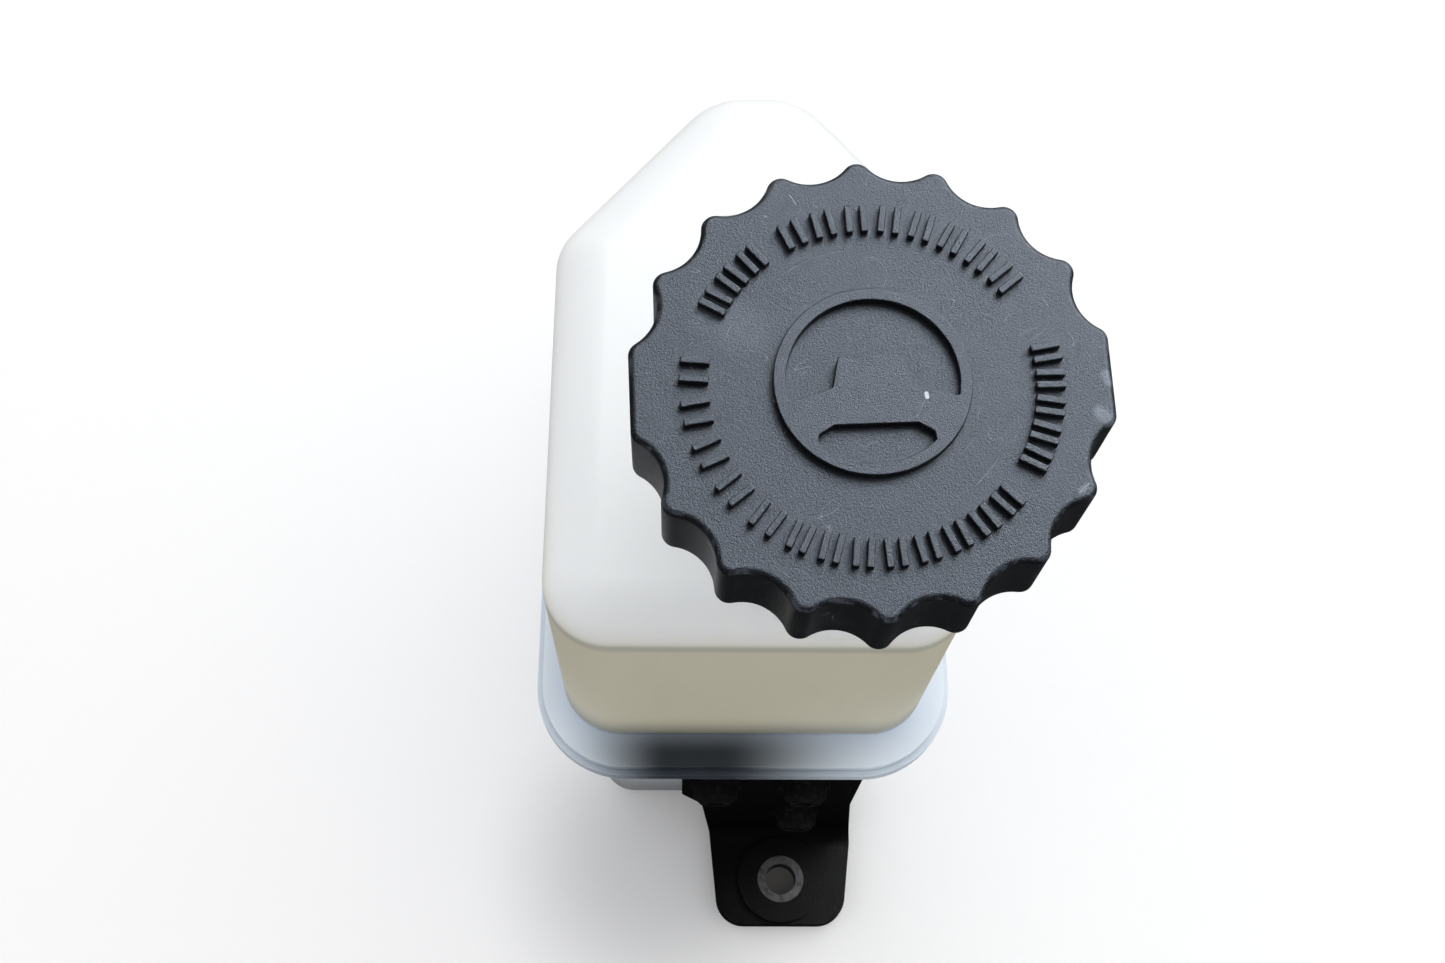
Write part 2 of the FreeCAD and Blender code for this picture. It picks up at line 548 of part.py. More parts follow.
cap = onNeckAxis("cap")
sk = sketchOn(cap, "XY_Plane", z=skirtZ)
fluted(sk)
grip = feature(cap, "Pad", sk, Length="size.capHigh")
grip = rounded(cap, "Fillet", grip, flatEdges(grip, capTopZ), "Radius", "size.capEdge")
sk = sketchOn(cap, "XZ_Plane")
cupZ = "(%s + size.cupShort)" % skirtZ
keeperLow = "(%s - size.keeperT)" % keeperTop
below = "(%s - size.cupT)" % skirtZ
outline(sk, [("0", below), (skirtIn, below), (skirtIn, under), (cupOut, under), (cupOut, cupZ),
             (cupIn, cupZ), (cupIn, under), (socketOut, under), (socketOut, keeperLow),
             (socketIn, keeperLow), (socketIn, under), ("0", under)])
turned(cap, "Groove", sk)
sk = sketchOn(cap, "XY_Plane", z=under)
circle(sk, "0", breatherOut, "%s + size.breatherWall" % breatherR)
feature(cap, "Pad", sk, Length="size.breatherT + size.slack", Reversed=True)
sk = sketchOn(cap, "XY_Plane", z=under)
circle(sk, "0", breatherOut, "%s + size.fitGap/4" % breatherR)
feature(cap, "Pocket", sk, Length="size.breatherT + size.slack")
sk = sketchOn(cap, "XY_Plane", z=under)
ribIn, ribOut = "(%s + size.cupT/2)" % cupIn, "(%s + size.capSkirtT/2)" % skirtIn
outline(sk, [(ribIn, "-size.capRibT/2"), (ribOut, "-size.capRibT/2"), (ribOut, "size.capRibT/2"),
             (ribIn, "size.capRibT/2")])
rib = feature(cap, "Pad", sk, Length="size.capRibDeep", Reversed=True)
repeated(cap, [rib], (sk, ["N_Axis"]), "size.capRibs", 360.0)
gasket = onNeckAxis("cap_gasket")
sk = sketchOn(gasket, "XZ_Plane")
gasketOut, gasketLow = "(%s - size.slack)" % cupIn, "(%s - size.gasketT)" % under
outline(sk, [(gasketIn, gasketLow), (gasketOut, gasketLow), (gasketOut, under),
             (gasketIn, under)])
turned(gasket, "Revolution", sk)

breather = onNeckAxis("cap_breather")
sk = sketchOn(breather, "XY_Plane", z=under)
circle(sk, "0", breatherOut, breatherR)
feature(breather, "Pad", sk, Length="size.breatherT", Reversed=True)

keeper = onNeckAxis("dipstick_keeper")
sk = sketchOn(keeper, "XZ_Plane")
outline(sk, [(keeperHole, keeperLow), ("%s - size.fitGap/4" % socketIn, keeperLow),
             ("%s - size.fitGap/4" % socketIn, keeperTop), (keeperHole, keeperTop)])
turned(keeper, "Revolution", sk)

stick = onNeckAxis("dipstick", turn=False)
headTopZ = "(%s - size.slack)" % under
headLow = "(%s - size.headT)" % headTopZ
shankR = "(%s - size.runFit)" % keeperHole
shankLow = "(%s - size.shankL)" % headLow
sk = sketchOn(stick, "XZ_Plane")
outline(sk, [("0", headTopZ), (headR, headTopZ), (headR, headLow), (shankR, headLow),
             (shankR, shankLow), ("0", shankLow)])
turned(stick, "Revolution", sk)
sk = sketchOn(stick, "XZ_Plane")
taperZ = "(%s + size.bladeTaper)" % bladeEndZ
outline(sk, [("size.bladeHalf", shankLow), ("size.bladeHalf", taperZ), ("size.bladeTip", bladeEndZ),
             ("-size.bladeTip", bladeEndZ), ("-size.bladeHalf", taperZ), ("-size.bladeHalf", shankLow)])
feature(stick, "Pad", sk, Length="size.bladeT", SideType="Symmetric")
ribLow = "(%s + size.markStep*(size.marks + 1))" % taperZ
sk = sketchOn(stick, "XZ_Plane")
outline(sk, [("size.bladeRibW/2", shankLow), ("size.bladeRibW/2", ribLow), ("-size.bladeRibW/2", ribLow),
             ("-size.bladeRibW/2", shankLow)])
feature(stick, "Pad", sk, Length="size.bladeT + 2*size.bladeRib", SideType="Symmetric")
sk = sketchOn(stick, "XZ_Plane")
for i in range(int(values["marks"])):
    circle(sk, "0", "%s + size.markStep*%d" % (taperZ, i), "size.markR")
feature(stick, "Pocket", sk, Length="size.bladeT*2", SideType="Symmetric")


bracket = newBody("bracket")
legY = "(-%s - size.plateT)" % padY
endY = "(%s - size.footOut)" % legY
footRight = "(size.footX + size.footHalf)"
footLeft = "(size.footX - size.footHalf)"
sk = sketchOn(bracket, "YZ_Plane", z="size.plateLeft")
outline(sk, [("-%s" % padY, "0"), ("-%s" % padY, plateTop), (legY, plateTop), (legY, "size.footT"),
             (endY, "size.footT"), (endY, "0")])
angle = feature(bracket, "Pad", sk, Length="%s - size.plateLeft" % footRight)
bend = edges(angle, lambda e: abs(middle(e).y - calc(legY)) < 0.01
             and abs(middle(e).z - values["footT"]) < 0.01)
angle = rounded(bracket, "Fillet", angle, bend, "Radius", "size.bendR")
sk = sketchOn(bracket, "XZ_Plane", z=padY)
past = "size.plateT"
outline(sk, [("size.plateLeft - %s" % past, "-%s" % past), (footLeft, "-%s" % past), (footLeft, "0"),
             ("size.legLeft", legHighZ), ("size.plateLeft", plateLowZ),
             ("size.plateLeft - %s" % past, plateLowZ)])
pastRight, pastTop = "(%s + %s)" % (footRight, past), "(%s + %s)" % (plateTop, past)
outline(sk, [(pastRight, "0"), (pastRight, pastTop), ("size.legRight", pastTop),
             ("size.legRight", legHighZ), (footRight, "0")])
angle = feature(bracket, "Pocket", sk, Length="size.plateT + size.footOut", Reversed=True)
sk = sketchOn(bracket, "XY_Plane")
for side in ("-", "+"):
    wide, slim = "(size.footX %s size.footHalf)" % side, "(size.footX %s size.footEndHalf)" % side
    away, over = "(%s %s %s)" % (wide, side, past), "(%s - %s)" % (endY, past)
    outline(sk, [(wide, legY), (slim, endY), (slim, over), (away, over), (away, legY)])
angle = feature(bracket, "Pocket", sk, Length="size.footT + size.bendR", Reversed=True)


def alongY(e):
    a, b = e.Vertexes[0].Point, e.Vertexes[-1].Point
    return abs(b.y - a.y) > 0.95 * (b - a).Length > 0.5


plateEdges = edges(angle, lambda e: alongY(e) and middle(e).z > calc(legHighZ) - 1
                   and middle(e).y > calc(legY))
angle = rounded(bracket, "Fillet", angle, plateEdges, "Radius", "size.plateCorner")
footEdges = edges(angle, lambda e: steep(e) and abs(middle(e).y - calc(endY)) < 0.01)
angle = rounded(bracket, "Fillet", angle, footEdges, "Radius", "size.footCorner")
holeY = "(%s + size.holeIn)" % endY
sk = sketchOn(bracket, "XY_Plane", z="size.footT")
circle(sk, "size.footX", holeY, "size.seatR")
foot = feature(bracket, "Pad", sk, Length="size.seatT")
sk = sketchOn(bracket, "XY_Plane")
circle(sk, "size.footX", holeY, "size.sleeveR + size.fitGap/2")
foot = feature(bracket, "Pocket", sk, Length="size.footT + size.seatT", Reversed=True)
sk = sketchOn(bracket, "XZ_Plane", z=padY)
for x, z in spots:
    circle(sk, x, z, "size.screwR + size.washerGap")
feature(bracket, "Pocket", sk, Length="size.plateT", Reversed=True)

sleeve = newBody("foot_sleeve")
sk = sketchOn(sleeve, "XY_Plane")
circle(sk, "size.footX", holeY, "size.sleeveR")
circle(sk, "size.footX", holeY, "size.sleeveBore")
feature(sleeve, "Pad", sk, Length="size.footT + size.seatT + size.sleeveProud")


def alongScrew(name, profile, hexed=False):
    """one turned piece at each screw position, its axis along Y from the boss face outwards"""
    made = []
    for i, (x, z) in enumerate(spots):
        body = doc.addObject("PartDesign::Body", "%s_%d" % (name, i + 1))
        tie(body, "Placement.Base.x", x)
        tie(body, "Placement.Base.y", "-%s" % padY)
        tie(body, "Placement.Base.z", z)
        sk = sketchOn(body, "YZ_Plane")
        outline(sk, profile)
        turned(body, "Revolution", sk, "H_Axis")
        if hexed:
            sk = sketchOn(body, "XZ_Plane", z="size.plateT + size.washerT + size.screwHeadT")
            outline(sk, [("size.hexR*cos(%d)" % a, "size.hexR*sin(%d)" % a) if a % 180 else
                         ("%ssize.hexR" % ("-" if a else ""), "0") for a in range(0, 360, 60)])
            feature(body, "Pocket", sk, Length="size.hexDeep")
        made.append(body)
    group = doc.addObject("Part::Compound", name)
    group.Label = name
    group.Links = made
    return group


front = "(-size.plateT - size.washerT)"
screws = alongScrew("bracket_screws", [
    ("size.screwL + %s" % front, "0"), ("size.screwL + %s" % front, "size.screwR"), (front, "size.screwR"),
    (front, "size.screwHeadR"), ("%s - size.screwHeadT*0.6" % front, "size.screwHeadR"),
    ("%s - size.screwHeadT" % front, "size.screwHeadR*0.7"), ("%s - size.screwHeadT" % front, "0")],
    hexed=True)
washers = alongScrew("bracket_washers", [
    ("-size.plateT", "size.screwR + size.washerGap"), ("-size.plateT", "size.washerR"),
    (front, "size.washerR"), (front, "size.screwR + size.washerGap")])
inserts = alongScrew("bracket_inserts", [
    ("0", "size.screwR + size.fitGap/2"), ("0", "size.insertR - size.fitGap/4"),
    ("size.insertT", "size.insertR - size.fitGap/4"), ("size.insertT", "size.screwR + size.fitGap/2")])


doc.recompute()
nodes = [upper, lower, baffle, base, seal, cage, mesh, head, disc, spring, cap, gasket, breather, keeper,
         stick, bracket, sleeve, screws, washers, inserts]
for thing in doc.Objects:
    if "Invalid" in thing.State or "Error" in thing.State:
        raise RuntimeError("%s did not build: %s" % (thing.Name, thing.State))
for node in nodes:
    if node.Shape.isNull() or not node.Shape.isValid():
        raise RuntimeError("%s has no valid shape" % node.Label)
for node in nodes:
    box = node.Shape.BoundBox
    print("%-16s solids %d faces %3d volume %9.1f  x %.1f %.1f  y %.1f %.1f  z %.1f %.1f" % (
        node.Label, len(node.Shape.Solids), len(node.Shape.Faces), node.Shape.Volume,
        box.XMin, box.XMax, box.YMin, box.YMax, box.ZMin, box.ZMax))
    node.Shape.exportStep("parts/%s.step" % node.Label)
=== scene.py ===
import math

import bmesh
import bpy
from mathutils import Matrix, Vector


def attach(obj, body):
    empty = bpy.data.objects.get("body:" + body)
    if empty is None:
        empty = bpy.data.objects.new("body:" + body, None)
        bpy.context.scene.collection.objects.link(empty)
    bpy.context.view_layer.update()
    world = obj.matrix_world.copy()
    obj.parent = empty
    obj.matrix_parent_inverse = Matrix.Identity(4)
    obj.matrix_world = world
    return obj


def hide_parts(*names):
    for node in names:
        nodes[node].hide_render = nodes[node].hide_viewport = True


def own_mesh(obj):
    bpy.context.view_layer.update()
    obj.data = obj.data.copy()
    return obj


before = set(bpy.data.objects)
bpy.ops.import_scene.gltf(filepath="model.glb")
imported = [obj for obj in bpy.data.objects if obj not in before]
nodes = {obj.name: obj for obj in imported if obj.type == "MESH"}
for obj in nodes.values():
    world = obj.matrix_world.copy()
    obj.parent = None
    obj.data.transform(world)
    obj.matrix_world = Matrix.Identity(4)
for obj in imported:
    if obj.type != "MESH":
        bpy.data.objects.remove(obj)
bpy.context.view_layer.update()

scene = bpy.context.scene
mm = 0.001
print("frame loaded:", len(nodes), "nodes")

# camera
shot = {
    "lens": 50.0, "sensor": 36.0, "near": 0.01,
    "place": (-0.01223, -0.09422, 0.44749),
    "right": (0.99974, 0.0, 0.02264),
    "up": (-0.00714, 0.94889, 0.31551),
    "back": (-0.02148, -0.31559, 0.94865),
}

camera = bpy.data.objects.new("camera", bpy.data.cameras.new("camera"))
scene.collection.objects.link(camera)
camera.data.lens = shot["lens"]
camera.data.sensor_width = shot["sensor"]
camera.data.clip_start = shot["near"]
turned = Matrix([shot["right"], shot["up"], shot["back"]]).transposed()
camera.matrix_world = Matrix.Translation(shot["place"]) @ turned.to_4x4()
scene.camera = camera
scene.view_settings.view_transform = "Standard"

# share of a scratch's width that is fully worn, and how softly a round one ends
scratch = {"core": 0.3, "fade": 0.004}


class Wire:  # one socket of a material, so that masks are written as plain sums
    def __init__(self, finish, socket):
        self.finish, self.socket = finish, socket

    def sum(self, operation, *others, clamp=False):
        return self.finish.node("ShaderNodeMath", {"operation": operation, "use_clamp": clamp},
                                dict(enumerate((self,) + others)))

    def __add__(self, other):
        return self.sum("ADD", other)

    def __mul__(self, other):
        return self.sum("MULTIPLY", other)

    def __sub__(self, other):
        return self.sum("SUBTRACT", other)

    def __rsub__(self, other):
        return self.finish.node("ShaderNodeMath", {"operation": "SUBTRACT"}, {0: other, 1: self})

    def __truediv__(self, other):
        return self.sum("DIVIDE", other)

    __radd__ = __add__
    __rmul__ = __mul__

    def size(self):  # distance from zero of a number
        return self.sum("ABSOLUTE")

    def larger(self, other):
        return self.sum("MAXIMUM", other)

    def clip(self):  # kept between 0 and 1
        return self.sum("ADD", 0.0, clamp=True)

    def step(self, low, high):  # 0 at low, 1 at high, smooth between, and low may be the larger one
        return self.finish.node("ShaderNodeMapRange", {"interpolation_type": "SMOOTHSTEP"},
                                {"Value": self, "From Min": low, "From Max": high})

    def vector(self, operation, other=None, out="Vector"):
        inputs = {0: self} if other is None else {0: self, 1: other}
        return self.finish.node("ShaderNodeVectorMath", {"operation": operation}, inputs, out)

    def twin(self, name):  # another output of the same node
        return Wire(self.finish, self.socket.node.outputs[name])

    def parts(self):
        x = self.finish.node("ShaderNodeSeparateXYZ", {}, {0: self})
        return x, x.twin("Y"), x.twin("Z")


class Tree:  # shader nodes of a material or of the world
    def __init__(self, tree):
        self.tree = tree
        tree.nodes.clear()

    def node(self, kind, settings, inputs, out=0):
        made = self.tree.nodes.new(kind)
        for prop, value in settings.items():
            setattr(made, prop, value)
        for name, value in inputs.items():
            self.feed(made.inputs[name], value)
        return Wire(self, made.outputs[out])

    def feed(self, socket, value):
        if isinstance(value, Wire):
            self.tree.links.new(value.socket, socket)
        else:
            socket.default_value = value

    def place(self, centre=(0, 0, 0), turned=0.0):  # object coordinates in millimetres
        spot = self.node("ShaderNodeTexCoord", {}, {}, "Object")
        return self.node("ShaderNodeMapping", {"vector_type": "TEXTURE"}, {
            "Vector": spot, "Location": centre, "Rotation": (0, 0, math.radians(turned)),
            "Scale": (mm, mm, mm)})

    def noise(self, place, perMm, detail=2.0, rough=0.5, warp=0.0):
        return self.node("ShaderNodeTexNoise", {}, {"Vector": place, "Scale": perMm, "Detail": detail,
                                                    "Roughness": rough, "Distortion": warp})

    def mix(self, share, a, b):  # 0, 6 and 7 are the Mix node's factor and colours, 2 its colour output
        return self.node("ShaderNodeMix", {"data_type": "RGBA"}, {0: share, 6: a, 7: b}, 2)

    def stroke(self, place, start, end, half):  # mask of a straight scratch between two points
        start, end = Vector(start), Vector(end)
        run = end - start
        near = place.vector("SUBTRACT", start)
        share = near.vector("DOT_PRODUCT", run / run.length_squared, "Value").clip()
        along = self.node("ShaderNodeVectorMath", {"operation": "SCALE"}, {0: tuple(run), "Scale": share})
        away = near.vector("SUBTRACT", along).vector("LENGTH", out="Value")
        return away.step(half, half * scratch["core"])

    def arc(self, place, radius, low, high, half):  # mask of a scratch round the Z axis, in degrees
        x, y, _ = place.parts()
        flat = self.node("ShaderNodeCombineXYZ", {}, {0: x, 1: y, 2: 0.0})
        off = (flat.vector("LENGTH", out="Value") - radius).size()
        middle = math.radians((low + high) / 2)
        near = flat.vector("NORMALIZE").vector(
            "DOT_PRODUCT", (math.cos(middle), math.sin(middle), 0.0), "Value")
        end = math.cos(math.radians((high - low) / 2))
        return off.step(half, half * scratch["core"]) * near.step(end - scratch["fade"],
                                                                  end + scratch["fade"])

    def bump(self, height, deep):
        return self.node("ShaderNodeBump", {}, {"Height": height, "Distance": deep * mm})


class Finish(Tree):  # one material
    def __init__(self, name, **constants):
        self.material = bpy.data.materials.new(name)
        self.material.use_nodes = True
        super().__init__(self.material.node_tree)
        self.shader = self.tree.nodes.new("ShaderNodeBsdfPrincipled")
        self.output = self.tree.nodes.new("ShaderNodeOutputMaterial")
        self.tree.links.new(self.shader.outputs[0], self.output.inputs[0])
        for socket, value in constants.items():
            self.shader.inputs[socket].default_value = value

    def wear(self, colour=None, roughness=None, normal=None):
        for socket, value in (("Base Color", colour), ("Roughness", roughness), ("Normal", normal)):
            if value is not None:
                self.feed(self.shader.inputs[socket], value)
        return self.material


def shade(r, g, b):  # colour as it is seen on screen, 0 to 255, to the linear one that Blender uses
    return tuple((c / 255 / 12.92 if c <= 10 else ((c / 255 + 0.055) / 1.055) ** 2.4)
                 for c in (r, g, b)) + (1.0,)


def strongest(masks):
    most = masks[0]
    for mask in masks[1:]:
        most = most.larger(mask)
    return most


# world and lamp
studio = {
    "skyTop": 1.14, "skyFront": 0.2,          # soft light from above and behind, and from the front
    "skyLean": (0.12, 0.5, 0.9), "skyFade": (-0.35, 0.75),
    "skyColour": (0.97, 0.985, 1.0, 1.0),
    "windowGlow": 20.0, "wallGlow": 0.12,     # what shiny faces mirror: a large soft window, and the rest
    "windowToward": (0.385, 0.585, 0.714), "windowEdge": (0.86, 0.985), "horizon": (-0.1, 0.5),
    "lampPlace": (0.5, 0.7, 1.4), "lampSize": 1.5, "lampPower": 3.5, "lampAim": (0.0, 0.02, 0.12),
}

world = bpy.data.worlds.new("studio")
scene.world = world
world.use_nodes = True
sky = Tree(world.node_tree)
look = sky.node("ShaderNodeTexCoord", {}, {}, "Generated")  # in a world this is the ray's direction
side, depth, height = look.parts()
ambient = side * studio["skyLean"][0] + depth * studio["skyLean"][1] + height * studio["skyLean"][2]
ambient = ambient.step(*studio["skyFade"]) * (studio["skyTop"] - studio["skyFront"]) + studio["skyFront"]
window = look.vector("DOT_PRODUCT", studio["windowToward"], "Value").step(*studio["windowEdge"])
mirrored = window * (studio["windowGlow"] - studio["wallGlow"]) + studio["wallGlow"]
mirrored = mirrored * height.step(*studio["horizon"])
seen = sky.node("ShaderNodeLightPath", {}, {}, "Is Camera Ray")
shiny, through = seen.twin("Is Glossy Ray"), seen.twin("Is Transmission Ray")
lit = sky.node("ShaderNodeBackground", {}, {
    "Color": studio["skyColour"], "Strength": ambient + shiny * (mirrored - ambient)})
white = sky.node("ShaderNodeBackground", {}, {"Color": (1.0, 1.0, 1.0, 1.0), "Strength": 1.0})
shown = sky.node("ShaderNodeMixShader", {}, {0: seen.larger(through), 1: lit, 2: white})
sky.tree.links.new(shown.socket, sky.tree.nodes.new("ShaderNodeOutputWorld").inputs[0])

lampData = bpy.data.lights.new("key", "AREA")
lampData.shape, lampData.size, lampData.energy = "SQUARE", studio["lampSize"], studio["lampPower"]
lamp = bpy.data.objects.new("key", lampData)
scene.collection.objects.link(lamp)
away = Vector(studio["lampPlace"]) - Vector(studio["lampAim"])
lamp.matrix_world = (Matrix.Translation(studio["lampPlace"])
                     @ away.to_track_quat("Z", "Y").to_matrix().to_4x4())
print("camera and light set")


def link(name, mesh, material=None):
    made = bpy.data.objects.new(name, mesh)
    scene.collection.objects.link(made)
    if material:
        mesh.materials.clear()
        mesh.materials.append(material)
    return made


def applied(made):  # turns an object's modifiers into plain mesh
    bpy.context.view_layer.update()
    ready = bpy.data.meshes.new_from_object(made.evaluated_get(bpy.context.evaluated_depsgraph_get()))
    made.modifiers.clear()
    made.data = ready
    return made


# floor, in millimetres but for its size
stage = {
    "size": 16.0, "glow": 0.1, "mirrored": 0.95,
    "near": shade(251, 249, 249), "far": shade(255, 254, 253), "lean": 0.7, "fade": (-170.0, 40.0),
    # painted shadow on the floor beside the bracket's leg
    "dark": shade(216, 215, 215), "darkAt": (-18.0, -36.0, 0.0), "darkEdge": (42.0, 6.0),
    # painted shade on the floor under the foot's hole
    "hole": shade(96, 94, 92), "holeAt": (10.4, -38.4, 0.0), "holeEdge": (6.0, 4.4),
}

half = stage["size"] / 2
floorMesh = bpy.data.meshes.new("floor")
floorMesh.from_pydata([(-half, -half, 0), (half, -half, 0), (half, half, 0), (-half, half, 0)], [],
                      [(0, 1, 2, 3)])
paper = Finish("paper", **{"Roughness": 0.9, "Specular IOR Level": 0.1})
spot = paper.place()
x, y, _ = spot.parts()
# painted shade: the floor a little darker towards its near left corner
corner = (x * stage["lean"] + y * stage["lean"]).step(*stage["fade"])
colour = paper.mix(corner, stage["near"], stage["far"])
dark = spot.vector("DISTANCE", stage["darkAt"], "Value").step(*stage["darkEdge"])
colour = paper.mix(dark, colour, stage["dark"])  # painted shadow of the tank and bracket on the floor
hole = spot.vector("DISTANCE", stage["holeAt"], "Value").step(*stage["holeEdge"])
colour = paper.mix(hole, colour, stage["hole"])  # painted shade on the floor under the foot, seen through its hole
seen = paper.node("ShaderNodeLightPath", {}, {}, "Is Camera Ray")
glow = paper.node("ShaderNodeEmission", {}, {"Color": colour})
dim = paper.node("ShaderNodeEmission", {}, {"Color": (0.0, 0.0, 0.0, 1.0)})
plain = Wire(paper, paper.shader.outputs[0])
plain = paper.node("ShaderNodeMixShader", {}, {0: seen * stage["glow"], 1: plain, 2: glow})
plain = paper.node("ShaderNodeMixShader", {}, {
    0: seen.twin("Is Glossy Ray") * stage["mirrored"], 1: plain, 2: dim})
paper.tree.links.new(plain.socket, paper.output.inputs[0])
floor = link("floor", floorMesh, paper.wear(colour))

# painted shade where the bracket stands in front of the tank: the tank's shadow, and the black bracket
# showing through the plastic
shadow = {"left": (-35.0, -14.0), "right": (-4.0, 26.0), "back": (-25.5, -14.0)}


def overBracket(x, y):
    return x.step(*shadow["left"]) * (1 - x.step(*shadow["right"])) * (1 - y.step(*shadow["back"]))


# shell colours: the walls a little darker than the white top, and the front darker and warmer still, are
# painted shade, partly the shell's own aged tone
milky = {
    "top": shade(252, 253, 251), "front": shade(212, 206, 182), "side": shade(232, 231, 220),
    "lip": shade(220, 230, 242), "lipOver": shade(38, 45, 54), "foot": shade(122, 124, 112),
    "streak": shade(182, 172, 142), "cloud": shade(214, 214, 200),
    "rough": 0.42, "mottle": 0.05, "streaked": 0.08, "creased": 0.4,
    "lipTop": 82.3, "lipFade": 1.5, "footTop": 97.0, "crease": 147.5, "shellTop": 157.0,
    "frontFade": (-24.0, 16.0), "topFade": (144.0, 156.0), "neck": (165.0, 167.0),
    "seamHalf": (0.28, 0.08),
}


def milkyPlastic():
    made = Finish("milkyPlastic", **{"Subsurface Weight": 0.35, "Subsurface Scale": 0.006,
                                     "Subsurface Radius": (1.0, 0.9, 0.65), "IOR": 1.5,
                                     "Specular IOR Level": 0.45})
    spot = made.place()
    x, y, z = spot.parts()
    cloudy = made.noise(spot, perMm=0.035, detail=3.0)
    flowing = made.node("ShaderNodeMapping", {}, {"Vector": spot, "Scale": (1.0, 1.0, 0.25)})
    streaks = made.noise(flowing, perMm=0.09)
    # painted shade on the walls and more on the front, partly the shell's aged tone
    front = 1 - y.step(*milky["frontFade"])
    colour = made.mix(front, milky["side"], milky["front"])
    colour = made.mix(z.step(*milky["topFade"]), colour, milky["top"])
    # painted shade in the crease where the top's rounding meets the front
    crease = (z - milky["crease"]).size().step(3.0, 0.5) * front * milky["creased"]
    colour = made.mix(crease, colour, milky["foot"])
    # painted shade on the low walls above the lip, darkest on the front
    foot = (1 - z.step(milky["lipTop"], milky["footTop"])) * (front * 0.5 + 0.12)
    colour = made.mix(foot, colour, milky["foot"])
    blotch = streaks.step(0.52, 0.75) * (1 - (z / milky["shellTop"]).step(0.85, 0.97))
    colour = made.mix(blotch * milky["streaked"], colour, milky["streak"])
    colour = made.mix(cloudy * milky["mottle"], colour, milky["cloud"])
    rim = 1 - z.step(milky["lipTop"], milky["lipTop"] + milky["lipFade"])
    # painted shade on the lip in front of the bracket
    lip = made.mix(overBracket(x, y), milky["lip"], milky["lipOver"])
    colour = made.mix(rim, colour, lip)
    seam = y.size().step(*milky["seamHalf"]) * z.step(*milky["neck"])  # mould's parting line on the neck
    fine = made.noise(spot, perMm=2.2) * 0.25 + made.noise(spot, perMm=0.16, detail=1.0)
    return made.wear(colour, cloudy * 0.12 + (milky["rough"] - 0.06),
                     made.bump(fine * 0.12 + seam * 0.6, deep=0.15))


# the sump's plastic, with painted shade in front of the bracket and on its low front
sump = {"plastic": shade(208, 217, 226), "cloud": shade(196, 205, 214), "over": shade(52, 60, 70),
        "grime": shade(150, 150, 148), "rough": 0.4, "overFrom": (70.0, 74.0),
        "grimeTop": (4.0, 45.0), "grimeBack": (-19.0, -4.0)}


def sumpPlastic():
    made = Finish("sumpPlastic", **{"Subsurface Weight": 0.25, "Subsurface Scale": 0.005,
                                    "Subsurface Radius": (0.8, 0.9, 1.0), "IOR": 1.5})
    spot = made.place()
    x, y, z = spot.parts()
    cloudy = made.noise(spot, perMm=0.04, detail=3.0)
    colour = made.mix(cloudy.step(0.3, 0.7) * 0.3, sump["plastic"], sump["cloud"])
    # painted shade on the sump's top in front of the bracket
    colour = made.mix(overBracket(x, y) * z.step(*sump["overFrom"]), colour, sump["over"])
    # painted shade on the sump's low front, under the lip
    low = (1 - z.step(*sump["grimeTop"])) * (1 - y.step(*sump["grimeBack"]))
    colour = made.mix(low * (cloudy * 0.5 + 0.5), colour, sump["grime"])
    return made.wear(colour, cloudy * 0.12 + (sump["rough"] - 0.06),
                     made.bump(made.noise(spot, perMm=1.8), deep=0.04))


black = {"plastic": shade(13, 14, 17), "worn": shade(150, 158, 170), "chip": shade(205, 210, 216),
         "tint": (0.76, 0.855, 1.0, 1.0), "ior": 1.52, "rough": 0.37,
         "centre": (0.0127, 0.0, 0.0), "turn": 2.6, "top": 205.0}
marks = {  # in millimetres from the cap's axis
    "arcs": (  # radius, from and to in degrees, half of the width
        (14.3, -20, -5, 0.1), (18.9, -48, -33, 0.11), (18.6, -31, -18, 0.08), (14.8, -41, -33, 0.1),
        (19.2, 98, 121, 0.12)),
    "lines": (  # start, end, half of the width
        ((-9.2, 27.4, 205), (-8.4, 26.0, 205), 0.2), ((26.9, -14.6, 205), (25.4, -15.9, 205), 0.16),
        ((24.0, 3.0, 205), (26.2, 2.4, 205), 0.09), ((-25.5, 5.0, 205), (-23.0, 6.6, 205), 0.08),
        ((-14.0, -24.0, 205), (-12.2, -25.6, 205), 0.09), ((5.3, 24.9, 205), (6.9, 26.8, 205), 0.08)),
    "scuffs": (
        ((29.2, -5.0, 205), (30.4, -6.2, 205), 1.3), ((30.5, 0.3, 205), (30.8, -0.9, 205), 0.8),
        ((26.6, -14.9, 204.9), (25.7, -15.6, 204.9), 0.6)),
    "smudge": ((-19.5, 10.8, 205), (-16.5, 8.2, 205), 5.0),
    "signChip": ((6.75, -2.1, 206.2), (6.8, -2.6, 206.2), 0.4),
    "signLine": ((6.5, -3.0, 206.2), (5.3, -5.2, 206.2), 0.09),
}


